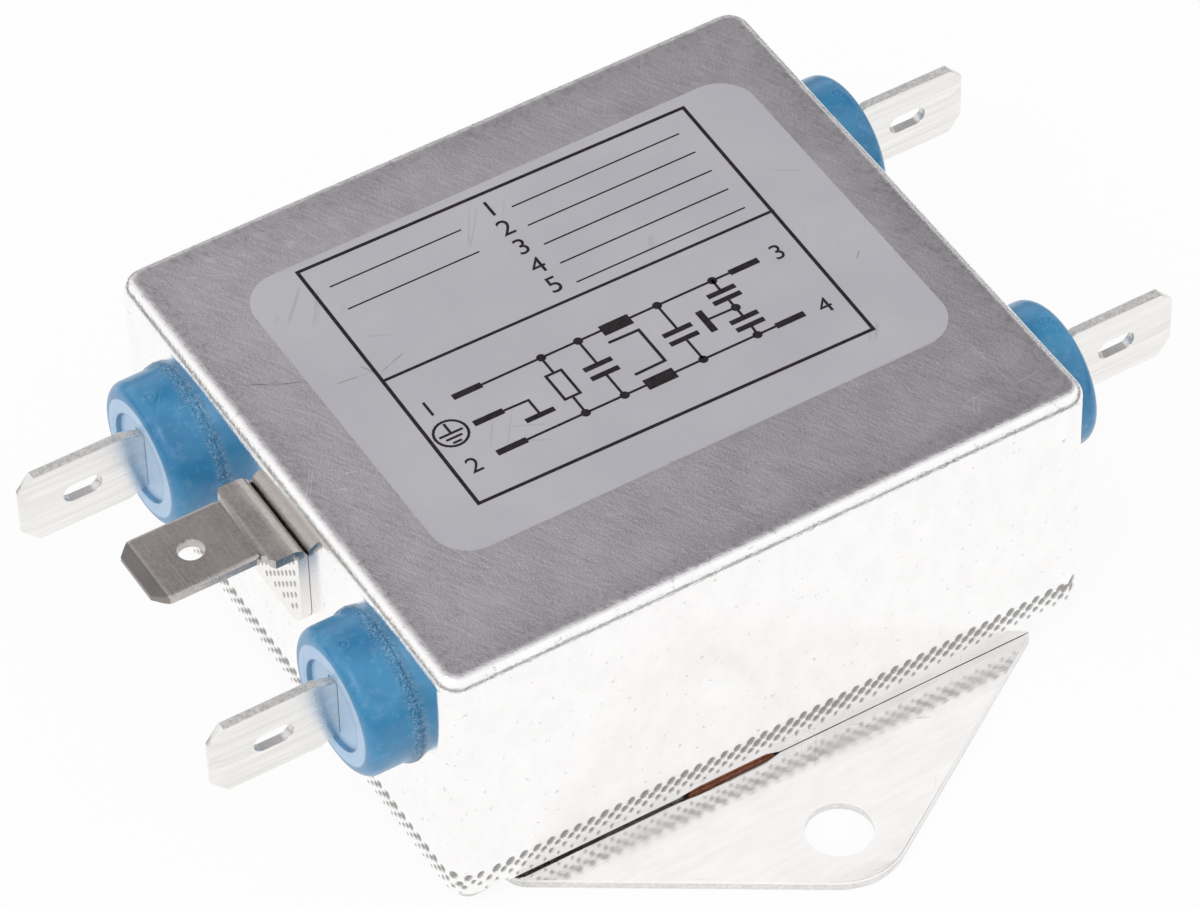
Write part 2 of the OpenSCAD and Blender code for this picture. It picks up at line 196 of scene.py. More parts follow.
def soften(piece, size, steps=2, angle=30):
    """A fine bevel along every crisp edge, as tumbling and plating leave it."""
    take(piece)
    step = piece.modifiers.new("soften", "BEVEL")
    step.width, step.segments = size * MM, steps
    step.limit_method, step.angle_limit = "ANGLE", math.radians(angle)
    bpy.ops.object.modifier_apply(modifier=step.name)


def close_up(piece, angle=35):
    """Doubles merged, faces turned outwards, smooth where the real piece is round."""
    edit(piece)
    bpy.ops.mesh.select_all(action="SELECT")
    bpy.ops.mesh.remove_doubles(threshold=2e-7)
    bpy.ops.mesh.normals_make_consistent(inside=False)
    done()
    bpy.ops.object.shade_smooth_by_angle(angle=math.radians(angle))
    step = piece.modifiers.new("even_light", "WEIGHTED_NORMAL")
    step.keep_sharp, step.weight = True, 80
    bpy.ops.object.modifier_apply(modifier=step.name)


def hand_over(piece, finish, slot, *nodes):
    piece.data.materials.clear()
    piece.data.materials.append(finish)
    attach(piece, "root")
    if nodes:
        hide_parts(*nodes)
    print(piece.name, len(piece.data.polygons), "faces,",
          [round(d * 1000, 2) for d in piece.dimensions], "mm")


# %% [markdown]
# ## The table and the light
# Small metal parts are photographed in a white tent: bright paper below and around them,
# with a darker panel behind that gives flat metal its grey. The world here is that tent.
# The camera and reflections see a white table, and the table still takes the part's shadow.

# %% Nodes with their inputs in one call
def put(tree, kind, inputs=None, **settings):
    node = tree.nodes.new(kind)
    for name, value in settings.items():
        setattr(node, name, value)
    for name, value in (inputs or {}).items():
        if isinstance(value, bpy.types.NodeSocket):
            tree.links.new(value, node.inputs[name])
        else:
            node.inputs[name].default_value = value
    return node


# %% Sums on values
def calc(tree, operation, a, b=0.0):
    return put(tree, "ShaderNodeMath", {0: a, 1: b}, operation=operation).outputs[0]


def times(tree, a, b):
    return calc(tree, "MULTIPLY", a, b)


def plus(tree, a, b):
    return calc(tree, "ADD", a, b)


def apart(tree, a, b=0.0):
    """How far a lies from b, on either side of it."""
    return calc(tree, "ABSOLUTE", calc(tree, "SUBTRACT", a, b))


def swing(tree, value, least, more):
    """A number that grows from least by as much as more, where value grows from 0 to 1."""
    return put(tree, "ShaderNodeMath", {0: value, 1: more, 2: least},
               operation="MULTIPLY_ADD").outputs[0]


# %% Places, soft steps and mixed colours
def split(tree, place):
    """A place as three numbers along X, Y and Z, in millimetres."""
    large = put(tree, "ShaderNodeVectorMath", {0: place, "Scale": 1 / MM}, operation="SCALE")
    return put(tree, "ShaderNodeSeparateXYZ", {0: large.outputs[0]}).outputs


def turn_about_z(tree, place, angle):
    return put(tree, "ShaderNodeVectorRotate", {"Vector": place, "Angle": angle},
               rotation_type="Z_AXIS").outputs[0]


def fade(tree, value, low, high, start=0.0, end=1.0):
    """A soft step of value from start to end between low and high."""
    node = put(tree, "ShaderNodeMapRange", {"Value": value, "From Min": low, "From Max": high,
               "To Min": start, "To Max": end}, interpolation_type="SMOOTHSTEP")
    return node.outputs[0]


def opaque(tone):
    return (*tone, 1) if isinstance(tone, tuple) else tone


def blend(tree, factor, first, second):
    """A colour between first and second."""
    node = put(tree, "ShaderNodeMix", {0: factor, 6: opaque(first), 7: opaque(second)},
               data_type="RGBA")
    return node.outputs[2]


# %% The white tent around the part
tent = bpy.data.worlds.new("white_tent")
tent.use_nodes = True
bpy.context.scene.world = tent
tree = tent.node_tree
tree.nodes.clear()
look = put(tree, "ShaderNodeTexCoord").outputs["Generated"]
axis = put(tree, "ShaderNodeSeparateXYZ", {0: look}).outputs
panel = times(tree, fade(tree, axis[0], -0.12, -0.01), fade(tree, axis[1], 0.05, 0.25))
panel = times(tree, panel, fade(tree, axis[2], 0.30, 0.62))
panel = times(tree, panel, fade(tree, axis[2], 0.87, 0.91, 1.0, 0.0))
deep = blend(tree, fade(tree, axis[0], 0.12, 0.52),
             (0.56, 0.54, 0.565), (0.12, 0.115, 0.122))
skirt = fade(tree, axis[2], 0.08, 0.14, 1.0, 0.0)
shade = blend(tree, panel, (1, 1, 1), deep)
shade = blend(tree, times(tree, skirt, 0.85), shade, (0.20, 0.20, 0.20))
rays = put(tree, "ShaderNodeLightPath").outputs
shade = blend(tree, rays["Is Camera Ray"], shade, (1, 1, 1))
glow = put(tree, "ShaderNodeBackground", {"Color": shade, "Strength": 1.0})
white = put(tree, "ShaderNodeBackground", {"Color": (1, 1, 1, 1), "Strength": 1.0})
pair = put(tree, "ShaderNodeMixShader", {0: rays["Is Camera Ray"], 1: glow.outputs[0],
           2: white.outputs[0]})
put(tree, "ShaderNodeOutputWorld", {"Surface": pair.outputs[0]})
print("tent of", len(tree.nodes), "nodes")

# %% The white table
clear_bench()
bpy.ops.mesh.primitive_plane_add(size=1.6, location=(0, 0, -0.00005))
table = bpy.context.object
table.name = table.data.name = "table"
table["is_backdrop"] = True
paper = bpy.data.materials.new("table_paper")
paper.use_nodes = True
tree = paper.node_tree
tree.nodes.clear()
rays = put(tree, "ShaderNodeLightPath").outputs
seen = times(tree, rays["Is Camera Ray"], 0.92)
seen = calc(tree, "MAXIMUM", seen, rays["Is Glossy Ray"])
seen = calc(tree, "MAXIMUM", seen, rays["Is Transmission Ray"])
matt = put(tree, "ShaderNodeBsdfDiffuse", {"Color": (0.9, 0.9, 0.9, 1)})
place = put(tree, "ShaderNodeTexCoord").outputs["Object"]
far = put(tree, "ShaderNodeVectorMath", {0: place}, operation="LENGTH").outputs["Value"]
rim = times(tree, fade(tree, far, 0.10, 0.14), rays["Is Glossy Ray"])
sheet = blend(tree, rim, (1, 1, 1), (0.25, 0.25, 0.25))
lit = put(tree, "ShaderNodeEmission", {"Color": sheet, "Strength": 1.0})
pair = put(tree, "ShaderNodeMixShader", {0: seen, 1: matt.outputs[0], 2: lit.outputs[0]})
put(tree, "ShaderNodeOutputMaterial", {"Surface": pair.outputs[0]})
table.data.materials.append(paper)
print("paper of", len(tree.nodes), "nodes")

# %% One soft lamp from the upper left
soft = bpy.data.lights.new("soft_lamp", "AREA")
soft.shape, soft.size, soft.energy = "DISK", 0.35, 0.6
lamp = bpy.data.objects.new("soft_lamp", soft)
lamp.location = (-0.45, -0.15, 0.55)
lamp.rotation_euler = (-lamp.location).to_track_quat("-Z", "Y").to_euler()
bpy.context.scene.collection.objects.link(lamp)
view = bpy.context.scene.view_settings
view.view_transform = "Standard"
print("lamp", soft.energy, "W,", view.view_transform)

# %% [markdown]
# ## Grain, streaks and scratches
# Rolled and tumbled sheet is never even: it has a fine grain, streaks along the rolling
# direction and a few hair scratches. These effects are made once as node groups, and each
# metal below uses them with its own size and direction.

# %% Start a node group
def new_group(name, vectors, numbers):
    """A group with named inputs and one mask, and the sockets that its nodes read."""
    group = bpy.data.node_groups.new(name, "ShaderNodeTree")
    for names, kind in ((vectors, "NodeSocketVector"), (numbers, "NodeSocketFloat")):
        for socket in names:
            group.interface.new_socket(name=socket, in_out="INPUT", socket_type=kind)
    group.interface.new_socket(name="Mask", in_out="OUTPUT", socket_type="NodeSocketFloat")
    return group, put(group, "NodeGroupInput").outputs


# %% Grain: fine noise that can be pulled out into streaks
grain, way_in = new_group("grain", ("Place", "Pull"), ("Scale", "Detail"))
pulled = put(grain, "ShaderNodeVectorMath", {0: way_in["Place"], 1: way_in["Pull"]},
             operation="MULTIPLY").outputs[0]
noise = put(grain, "ShaderNodeTexNoise", {"Vector": pulled, "Scale": way_in["Scale"],
            "Detail": way_in["Detail"], "Roughness": 0.6}).outputs[0]
put(grain, "NodeGroupOutput", {"Mask": fade(grain, noise, 0.28, 0.72)})

# %% Scratches: thin broken lines in two directions
scratch, way_in = new_group("scratches", ("Place",), ("Scale",))
marks = []
for turn, pull in ((0.6, (1.0, 0.03, 1.0)), (2.1, (0.8, 0.04, 0.8))):
    turned = turn_about_z(scratch, way_in["Place"], turn)
    long = put(scratch, "ShaderNodeVectorMath", {0: turned, 1: pull},
               operation="MULTIPLY").outputs[0]
    line = put(scratch, "ShaderNodeTexNoise", {"Vector": long, "Scale": way_in["Scale"],
               "Detail": 1.0}).outputs[0]
    thin = fade(scratch, apart(scratch, line, 0.5), 0.0, 0.006, 1.0, 0.0)
    patch = put(scratch, "ShaderNodeTexNoise", {"Vector": way_in["Place"], "Detail": 2.0,
                "Scale": times(scratch, way_in["Scale"], 0.35 + 0.1 * turn)}).outputs[0]
    marks.append(times(scratch, thin, fade(scratch, patch, 0.60, 0.68)))
put(scratch, "NodeGroupOutput", {"Mask": calc(scratch, "MAXIMUM", *marks)})

# %% One scratch at a chosen place
single, way_in = new_group("one_scratch", ("Place", "Middle"), ("Angle", "Half"))
shifted = put(single, "ShaderNodeVectorMath", {0: way_in["Place"], 1: way_in["Middle"]},
              operation="SUBTRACT").outputs[0]
xyz = split(single, turn_about_z(single, shifted, way_in["Angle"]))
thin = fade(single, apart(single, xyz[1]), 0.02, 0.08, 1.0, 0.0)
long = fade(single, apart(single, xyz[0]), times(single, way_in["Half"], 0.6),
            way_in["Half"], 1.0, 0.0)
broken = put(single, "ShaderNodeTexNoise", {"Vector": way_in["Place"], "Scale": 1500.0}).outputs[0]
line = times(single, times(single, thin, long), fade(single, broken, 0.35, 0.5, 0.3, 1.0))
put(single, "NodeGroupOutput", {"Mask": line})
print(len(bpy.data.node_groups), "shared effects made")


# %% Place the groups in a material
def place_group(tree, group, inputs):
    return put(tree, "ShaderNodeGroup", inputs, node_tree=group).outputs[0]


def grain_at(tree, place, scale, detail, pull=(1, 1, 1)):
    return place_group(tree, grain, {"Place": place, "Pull": pull, "Scale": scale,
                                     "Detail": detail})


def scratches_in(tree, place, scale):
    return place_group(tree, scratch, {"Place": place, "Scale": scale})


def scratches_at(tree, place, lines):
    """Single scratches from (x1, y1) to (x2, y2), in millimetres."""
    found = 0.0
    for x1, y1, x2, y2 in lines:
        centre = mm((x1 + x2) / 2, (y1 + y2) / 2, 0)
        mask = place_group(tree, single, {
            "Place": place, "Middle": centre, "Angle": -math.atan2(y2 - y1, x2 - x1),
            "Half": math.hypot(x2 - x1, y2 - y1) / 2})
        found = calc(tree, "MAXIMUM", found, mask)
    return found


def new_finish(name, **shader_values):
    finish = bpy.data.materials.new(name)
    finish.use_nodes = True
    tree = finish.node_tree
    shader = tree.nodes["Principled BSDF"]
    for key, value in shader_values.items():
        shader.inputs[key.replace("_", " ")].default_value = value
    place = put(tree, "ShaderNodeTexCoord").outputs["Object"]
    print("finish", name)
    return finish, tree, shader, place


def feed(tree, shader, tone, rough):
    tree.links.new(tone, shader.inputs["Base Color"])
    tree.links.new(rough, shader.inputs["Roughness"])


def bump(tree, shader, height, distance):
    """A relief in the light, as deep as distance in millimetres."""
    node = put(tree, "ShaderNodeBump", {"Height": height, "Distance": distance * MM})
    tree.links.new(node.outputs[0], shader.inputs["Normal"])


# %% [markdown]
# ## The can's finish
# The can is drawn from bright tinned sheet. Its top has been rubbed to a satin grey, and its
# walls still mirror the table and the terminals. So the roughness follows the height: satin
# on top, bright below. The dimples of the crimp and a band along the top's edges get painted
# shade.

# %% Satin top and bright walls
can_metal, tree, shader, place = new_finish("can_metal", Metallic=1.0)
xyz = split(tree, place)
on_top = fade(tree, xyz[2], TOP - 0.2, TOP - 0.01)
fine = grain_at(tree, place, 5200, 2)
cloud = grain_at(tree, place, 260, 4)
drawn = grain_at(tree, place, 600, 4, (1, 1, 0.6))
hair = scratches_in(tree, place, 420)
brushed = grain_at(tree, turn_about_z(tree, place, math.radians(62)), 3400, 4, (0.14, 1, 1))
pressed = put(tree, "ShaderNodeAttribute", attribute_name="pressed").outputs["Fac"]
top_tone = blend(tree, fine, (0.74, 0.72, 0.745), (0.90, 0.88, 0.905))
top_tone = blend(tree, times(tree, brushed, 0.7), top_tone, (0.60, 0.58, 0.605))
top_tone = blend(tree, times(tree, cloud, 0.35), top_tone, (0.72, 0.70, 0.725))
# Painted shade: a flecked darker band along the top's edges, where the reflection turns darker.
near_x = fade(tree, apart(tree, xyz[0]), HALF_X - 3.45, HALF_X - 1.05)
near_y = fade(tree, apart(tree, xyz[1]), HALF_Y - 3.5, HALF_Y - 1.1)
edge_shade = calc(tree, "MAXIMUM", near_x, near_y)
flecks = grain_at(tree, place, 1700, 5)
edge_shade = times(tree, edge_shade, fade(tree, flecks, 0.45, 0.95, 0.35, 1.0))
top_tone = blend(tree, times(tree, edge_shade, 0.6), top_tone, (0.42, 0.405, 0.42))
top_tone = blend(tree, times(tree, hair, 0.5), top_tone, (0.97, 0.96, 0.97))
bright = scratches_at(tree, place, ((21.35, -14.4, 21.9, -20.7), (21.8, -20.05, 24.2, -19.85),
                                    (17.7, -19.75, 19.75, -19.55), (-22.4, -2.2, -21.2, -2.6),
                                    (-23.7, -3.2, -21.8, -4.0)))
top_tone = blend(tree, times(tree, bright, 0.7), top_tone, (1.0, 0.99, 1.0))
dark = scratches_at(tree, place, ((-22.8, 8.0, -20.1, 6.9), (-24.0, 8.9, -21.6, 7.6)))
top_tone = blend(tree, times(tree, dark, 0.7), top_tone, (0.25, 0.24, 0.25))
wall_tone = blend(tree, drawn, (0.955, 0.945, 0.94), (0.995, 0.985, 0.98))
tone = blend(tree, on_top, wall_tone, top_tone)
tone = blend(tree, fade(tree, flecks, 0.90, 1.0, 0.0, 0.45), tone, (0.45, 0.435, 0.43))
# Painted shade in the dimples of the crimp, the deeper dimples darker.
tone = blend(tree, times(tree, pressed, 0.85), tone, (0.26, 0.255, 0.25))
rough = swing(tree, on_top, 0.11, 0.17)
rough = plus(tree, rough, times(tree, cloud, 0.06))
rough = plus(tree, rough, times(tree, pressed, 0.25))
feed(tree, shader, tone, rough)
round_edge = times(tree, fade(tree, xyz[2], TOP - 1.3, TOP - 1.0),
                   fade(tree, xyz[2], TOP - 0.06, TOP, 1.0, 0.0))
rub = plus(tree, times(tree, on_top, 0.8), times(tree, round_edge, 2.0))
relief = times(tree, fine, plus(tree, rub, 0.7))
relief = plus(tree, relief, times(tree, times(tree, flecks, round_edge), 3.0))
relief = plus(tree, relief, times(tree, drawn, 0.2))
relief = plus(tree, relief, times(tree, times(tree, brushed, on_top), 0.6))
relief = calc(tree, "SUBTRACT", relief, times(tree, hair, 0.8))
bump(tree, shader, relief, 0.004)

# %% [markdown]
# ## The can
# The real can is pressed from one sheet, so its corners and its top edge are round, and it
# is open below. Starting from a block, the upright edges and the top edges are bevelled,
# and the floor is inset and pushed up, which leaves a wall of even thickness.

# %% Draw the can from a block
can = block("drawn_can", (-HALF_X, -HALF_Y, RIM), (HALF_X, HALF_Y, TOP))
edit(can)
pick("EDGE", lambda e: span(e)[2] > 5)
bevel(CORNER_R, 8)
pick("EDGE", lambda e: abs(middle(e).z - TOP) < 0.01 and span(e)[2] < 0.01)
bevel(1.1, 7)
pick("FACE", lambda f: f.normal.z < -0.9)
inset(WALL)
draw_out(0, 0, TOP - WALL - RIM)

# %% A line where the crimped band ends
BAND = 3.45                         # the band's height above the rim


def outside(f):
    m = middle(f)
    return abs(f.normal.z) < 0.1 and (f.normal.x * m.x > 1 or f.normal.y * m.y > 1)


n = pick("FACE", lambda f: outside(f) and f.calc_area() / MM ** 2 > 0.1)
bpy.ops.mesh.bisect(plane_co=mm(0, 0, RIM + BAND), plane_no=(0, 0, 1))
print(n, "outer faces cut at", RIM + BAND, "mm")

# %% Holes for the terminals
for row in (-TERM_Y, TERM_Y):
    combine(can, rod("hole", (0, row, TERM_Z), BUSH_R + 0.05, 70, "X", 64))
print("can", len(can.data.polygons), "faces after the holes")

# %% [markdown]
# ## The crimp
# A knurled wheel has run round the foot of the can and pressed rows of small ovals into the
# sheet, which grips the base plate. The rows climb a little from one end to the other. The
# band is subdivided finely, and each oval is pressed in by moving the points inside it.

# %% Subdivide the band
def around(e):
    """On the outer skin: as far from the middle as the rounded outline."""
    for v in e.verts:
        x = max(abs(v.co.x) / MM - HALF_X + CORNER_R, 0)
        y = max(abs(v.co.y) / MM - HALF_Y + CORNER_R, 0)
        if abs(math.hypot(x, y) - CORNER_R) > 0.05:
            return False
    return True


edit(can)
n = pick("EDGE", lambda e: around(e) and span(e)[2] > 1 and middle(e).z < RIM + BAND)
bpy.ops.mesh.subdivide(number_cuts=27)
print("upright edges", n)
for cuts, at_least in ((20, 1), (20, 1), (2, 0.25)):
    n = pick("EDGE", lambda e: around(e) and span(e)[2] < 0.001
             and middle(e).z < RIM + BAND + 0.01 and math.hypot(*span(e)[:2]) > at_least)
    bpy.ops.mesh.subdivide(number_cuts=cuts)
    print("level edges", n)
pick("FACE", lambda f: f.normal.z < -0.9 and abs(middle(f).z - RIM) < 0.01)
inset(0.12)
done()
close_up(can, 60)
print("can", len(can.data.polygons), "faces")

# %% Running length along the rounded outline
CORE_X, CORE_Y = HALF_X - CORNER_R, HALF_Y - CORNER_R
ARC = CORNER_R * math.pi / 2
points = np.zeros(len(can.data.vertices) * 3)
can.data.vertices.foreach_get("co", points)
points = points.reshape(-1, 3) / MM
core = np.clip(points[:, :2], (-CORE_X, -CORE_Y), (CORE_X, CORE_Y))
away = points[:, :2] - core
reach = np.hypot(away[:, 0], away[:, 1])
skin = (np.abs(reach - CORNER_R) < 0.02) & (points[:, 2] > RIM + 0.1) & (points[:, 2] < RIM + BAND)
outward = away / np.maximum(reach, 1e-6)[:, None]
# The run starts at the front wall's line end and goes round by the load end.
heading = (np.arctan2(outward[:, 0], -outward[:, 1]) + 2 * math.pi + 1e-6) % (2 * math.pi)
side = np.minimum(heading // (math.pi / 2), 3).astype(int)
bent = heading - side * math.pi / 2
before = np.array([0, 2 * CORE_X + ARC, 2 * CORE_X + 2 * CORE_Y + 2 * ARC,
                   4 * CORE_X + 2 * CORE_Y + 3 * ARC])
along = np.choose(side, [core[:, 0] + CORE_X, core[:, 1] + CORE_Y,
                         CORE_X - core[:, 0], CORE_Y - core[:, 1]])
run = before[side] + along + CORNER_R * bent
full = 4 * (CORE_X + CORE_Y + ARC)
print("outline", round(full, 1), "mm round,", int(skin.sum()), "points in the band")

# %% The rows of ovals
PITCH, ROW_DROP, LEAN = 1.1, 0.48, 0.30
# Half the width, half the height and the depth of an oval, from the top row down
OVALS = ((0.35, 0.40, 0.12), (0.32, 0.33, 0.11), (0.26, 0.26, 0.09), (0.16, 0.19, 0.07))
# The top row's height, and how large the lower ovals are, along the run
TOP_ROW = ((0, 1.6), (48.9, 2.75), (52, 2.6), (95, 1.9), (98, 1.9), (147, 2.6), (152, 2.7),
           (172, 2.15), (192, 1.5), (full, 1.6))
LOWER = ((0, 0.75), (12, 0.95), (30, 1.25), (49, 1.05), (100, 0.9), (150, 0.9), (175, 1.0),
         (full, 0.75))
CORNERS = (-0.5, 50.3, 96.5, 148.2, full - 1)
print(len(OVALS), "rows with", int(full / PITCH), "ovals each")

# %% Press them in
rng = random.Random(7)
sink = np.zeros(len(points))
count = 0
for column in range(int(full / PITCH)):
    spot = column * PITCH + 0.3
    top = float(np.interp(spot, *zip(*TOP_ROW)))
    rich = float(np.interp(spot, *zip(*LOWER)))
    corner = any(abs(spot - c) < 1.9 for c in CORNERS)
    for row, (wide, high, deep) in enumerate(OVALS):
        size = (1.0 if row == 0 else rich) * rng.uniform(0.92, 1.08)
        at, level = spot + PITCH / 2 * row, top - ROW_DROP * row
        if corner:
            at, level = at + rng.uniform(-0.3, 0.3), level + rng.uniform(-0.15, 0.3)
            size *= rng.uniform(0.8, 1.25)
        along = (run - at + full / 2) % full - full / 2
        up = points[:, 2] - RIM - level
        lean = along - up * LEAN
        part = 1 - (lean / (wide * size)) ** 2 - (up / (high * size)) ** 2
        part = np.clip(part, 0, 1) * skin
        sink = np.maximum(sink, part ** 0.7 * deep)
        count += 1
points[:, :2] -= outward * sink[:, None]
print(count, "ovals pressed,", round(float(sink.max()), 2), "mm at the deepest")

# %% Bend the front rim and hand the can over
# The front rim lies closer to the plate beside the tongue of the insulating sheet.
low_rim = np.interp(points[:, 0], (-24.5, -22.5, -8.2, -6.6, -0.9, 0.3, 22.5, 24.5),
                    (0, 0.24, 0.24, 0, 0, 0.44, 0.44, 0))
front = (points[:, 1] < -HALF_Y + 0.15) & (points[:, 2] < RIM + 0.8)
points[:, 2] -= front * low_rim * np.clip((RIM + 0.8 - points[:, 2]) / 0.8, 0, 1)
can.data.vertices.foreach_set("co", (points * MM).ravel())
# The dimples' depth, which the can's finish uses for painted shade in them and for roughness.
pressed = can.data.attributes.new("pressed", "FLOAT", "POINT")
pressed.data.foreach_set("value", np.clip(sink / 0.06, 0, 1))
can.data.update()
take(can)
bpy.ops.object.shade_smooth_by_angle(angle=math.radians(60))
hand_over(can, can_metal, "can_metal", "case_can")

# %% [markdown]
# ## The base plate
# The plate closes the can and carries an ear on each long side, with a hole in its nose for
# the mounting screw. One outline is stamped from sheet, so it is made from a block that is
# drawn out and narrowed towards each nose, and its upright corners are rounded after that.

# %% Bright stamped plate
plate_metal, tree, shader, place = new_finish("plate_metal", Metallic=1.0)
fine = grain_at(tree, place, 3200, 2)
rolled = grain_at(tree, place, 1500, 4, (0.16, 1, 1))
cloud = grain_at(tree, place, 180, 3)
hair = scratches_in(tree, place, 380)
tone = blend(tree, rolled, (0.95, 0.94, 0.93), (0.995, 0.985, 0.975))
tone = blend(tree, times(tree, hair, 0.5), tone, (0.55, 0.54, 0.53))
xyz = split(tree, place)
# Painted shade and reflection: the ear is darker and streaked next to the can's wall.
wall_shade = fade(tree, apart(tree, xyz[1]), HALF_Y, HALF_Y + 3, 0.45, 0.0)
tone = blend(tree, times(tree, wall_shade, fade(tree, rolled, 0.2, 0.8, 0.6, 1.0)), tone,
             (0.52, 0.505, 0.49))
cut_edge = times(tree, fade(tree, xyz[2], 0.01, 0.06),
                 fade(tree, xyz[2], PLATE_T - 0.20, PLATE_T - 0.08, 1.0, 0.0))
torn = blend(tree, fine, (0.30, 0.29, 0.285), (0.62, 0.60, 0.59))
tone = blend(tree, times(tree, cut_edge, 0.4), tone, torn)
feed(tree, shader, tone, swing(tree, cloud, 0.13, 0.10))
bump(tree, shader, plus(tree, fine, times(tree, rolled, 2.5)), 0.002)

# %% Stamp the ears
EAR_ROOT, NOSE_Y, NOSE_R, ROOT_Y, ROOT_R = 22.0, 31.75, 4.95, 22.33, 2.0
slope = math.atan2(ROOT_Y - NOSE_Y, EAR_ROOT - ROOT_R) + math.acos(
    (NOSE_R - ROOT_R) / math.hypot(EAR_ROOT - ROOT_R, NOSE_Y - ROOT_Y))
root_corner = ROOT_Y + ROOT_R * math.tan(slope / 2)
nose_half = NOSE_R * math.tan((math.pi / 2 - slope) / 2)
print("edge slope", round(90 - math.degrees(slope), 1), "deg, nose flat", round(nose_half * 2, 2))
plate = block("stamped_plate", (-EAR_ROOT, -root_corner, 0), (EAR_ROOT, root_corner, PLATE_T))


def on_outline(e):
    return span(e)[2] < 0.01 and e.calc_face_angle(0) > 1


edit(plate)
for way in (-1, 1):
    pick("FACE", lambda f: f.normal.y * way > 0.9)
    draw_out(0, way * (NOSE_Y + NOSE_R - 0.001 - root_corner), 0,
             (nose_half / EAR_ROOT, 1, 1), (0, 0, 0))
pick("EDGE", lambda e: span(e)[2] > 0.5 and abs(middle(e).y) > 30)
bevel(nose_half, 12)
pick("EDGE", lambda e: span(e)[2] > 0.5 and abs(middle(e).x) > EAR_ROOT - 0.01)
bevel(ROOT_R * math.tan(slope / 2), 6)
print(pick("EDGE", on_outline), "outline edges softened")
bevel(0.1, 2)
done()

# %% Add the plate inside the can with its crimp rim
INNER_X, INNER_Y, CRIMP_H = 25.4, 22.65, 4.2
inner = block("inner_plate", (-INNER_X, -INNER_Y, 0), (INNER_X, INNER_Y, PLATE_T))
edit(inner)
pick("EDGE", lambda e: span(e)[2] > 0.5)
bevel(0.95, 6)
pick("FACE", lambda f: f.normal.z > 0.9)
draw_out(0, 0, CRIMP_H)
inset(PLATE_T)
draw_out(0, 0, -CRIMP_H)
done()
combine(plate, inner, "UNION")
for way in (-1, 1):
    combine(plate, rod("screw_hole", (0, way * NOSE_Y, 0), 2.5, 5, "Z", 64))
combine(plate, block("tongue_gap", (-7.25, -HALF_Y - 0.5, PLATE_T),
                     (-0.05, -HALF_Y + 2.5, PLATE_T + 0.5)))
close_up(plate)
hand_over(plate, plate_metal, "plate_metal", "base_plate")

# %% [markdown]
# ## The terminal bushings
# Each tab is held in a blue moulded bushing that snaps into the wall. A turned form like
# this starts as a disc, drawn out step by step with its radius changed at each step. The
# front edge is rounded, the middle of the face is let in a little, and a slot takes the tab.
# On top is the small ring that the mould's gate has left, and the foot is a little lumpy,
# where the plastic was pressed against the wall.

# %% Blue moulded plastic
bushing_blue, tree, shader, place = new_finish(
    "bushing_blue", IOR=1.45, Coat_Weight=0.6, Coat_Roughness=0.22, Coat_IOR=1.5)
soft_grain = grain_at(tree, place, 1400, 3)
cloud = grain_at(tree, place, 230, 3)
hair = scratches_in(tree, place, 500)
tone = blend(tree, cloud, (0.010, 0.175, 0.38), (0.030, 0.255, 0.49))
tone = blend(tree, fade(tree, soft_grain, 0.55, 1.0, 0.0, 0.13), tone, (0.30, 0.50, 0.70))
tone = blend(tree, times(tree, hair, 0.35), tone, (0.30, 0.50, 0.70))
xyz = split(tree, place)
out = apart(tree, xyz[0])
beside = calc(tree, "SUBTRACT", apart(tree, xyz[1]), TERM_Y)
above = calc(tree, "SUBTRACT", xyz[2], TERM_Z)
flat = put(tree, "ShaderNodeCombineXYZ", {0: beside, 1: above}).outputs[0]
round_off = put(tree, "ShaderNodeVectorMath", {0: flat}, operation="LENGTH").outputs["Value"]
# Painted sheen: the face inside the round-over is paler, a little less so at the recess's step.
floor = HALF_X + BUSH_OUT - RECESS_DEEP
face = times(tree, fade(tree, out, floor - 0.10, floor - 0.02),
             fade(tree, round_off, BUSH_R - 1.15, BUSH_R - 0.95, 1.0, 0.0))
step_off = apart(tree, round_off, RECESS_R - 0.02)
face = times(tree, face, fade(tree, step_off, 0.04, 0.10, 0.3, 1.0))
tone = blend(tree, face, tone, (0.36, 0.56, 0.80))
# Near the wall the foot gets pale specks for the wall's bright burr beads, and dark specks that
# are painted shade in the seam.
foot = fade(tree, out, HALF_X + 0.35, HALF_X + 0.9, 1.0, 0.0)
specks = grain_at(tree, place, 6500, 4)
tone = blend(tree, times(tree, foot, fade(tree, specks, 0.55, 0.95, 0.0, 0.7)), tone,
             (0.30, 0.42, 0.52))
tone = blend(tree, times(tree, foot, fade(tree, specks, 0.1, 0.4, 0.8, 0.0)), tone,
             (0.015, 0.07, 0.14))
feed(tree, shader, tone, swing(tree, soft_grain, 0.34, 0.16))
lumps = times(tree, times(tree, foot, specks), 5.0)
bump(tree, shader, plus(tree, plus(tree, soft_grain, times(tree, cloud, 2.0)), lumps), 0.008)

# %% Turn the bushing's steps
FLANGE_R = 6.8
AXIS = (0, 0, TERM_Z)
bush = rod("bushing_model", (HALF_X - 1.45, 0, TERM_Z), FLANGE_R, 1.2, "X", 72)
edit(bush)


def turn_steps(radius, least_area, steps):
    """Draws the front face out by each reach and gives it the new radius."""
    for reach, new_radius in steps:
        pick("FACE", lambda f: f.normal.x > 0.9 and f.calc_area() / MM ** 2 > least_area)
        ratio = new_radius / radius
        draw_out(reach, 0, 0, (1, ratio, ratio), AXIS)
        radius = new_radius


turn_steps(FLANGE_R, 50, ((0, BUSH_R), (0.86, BUSH_R), (0, 5.9), (0.25, 5.85), (0.3, 5.72),
                          (0.35, BUSH_R), (BUSH_OUT - 0.91, BUSH_R)))

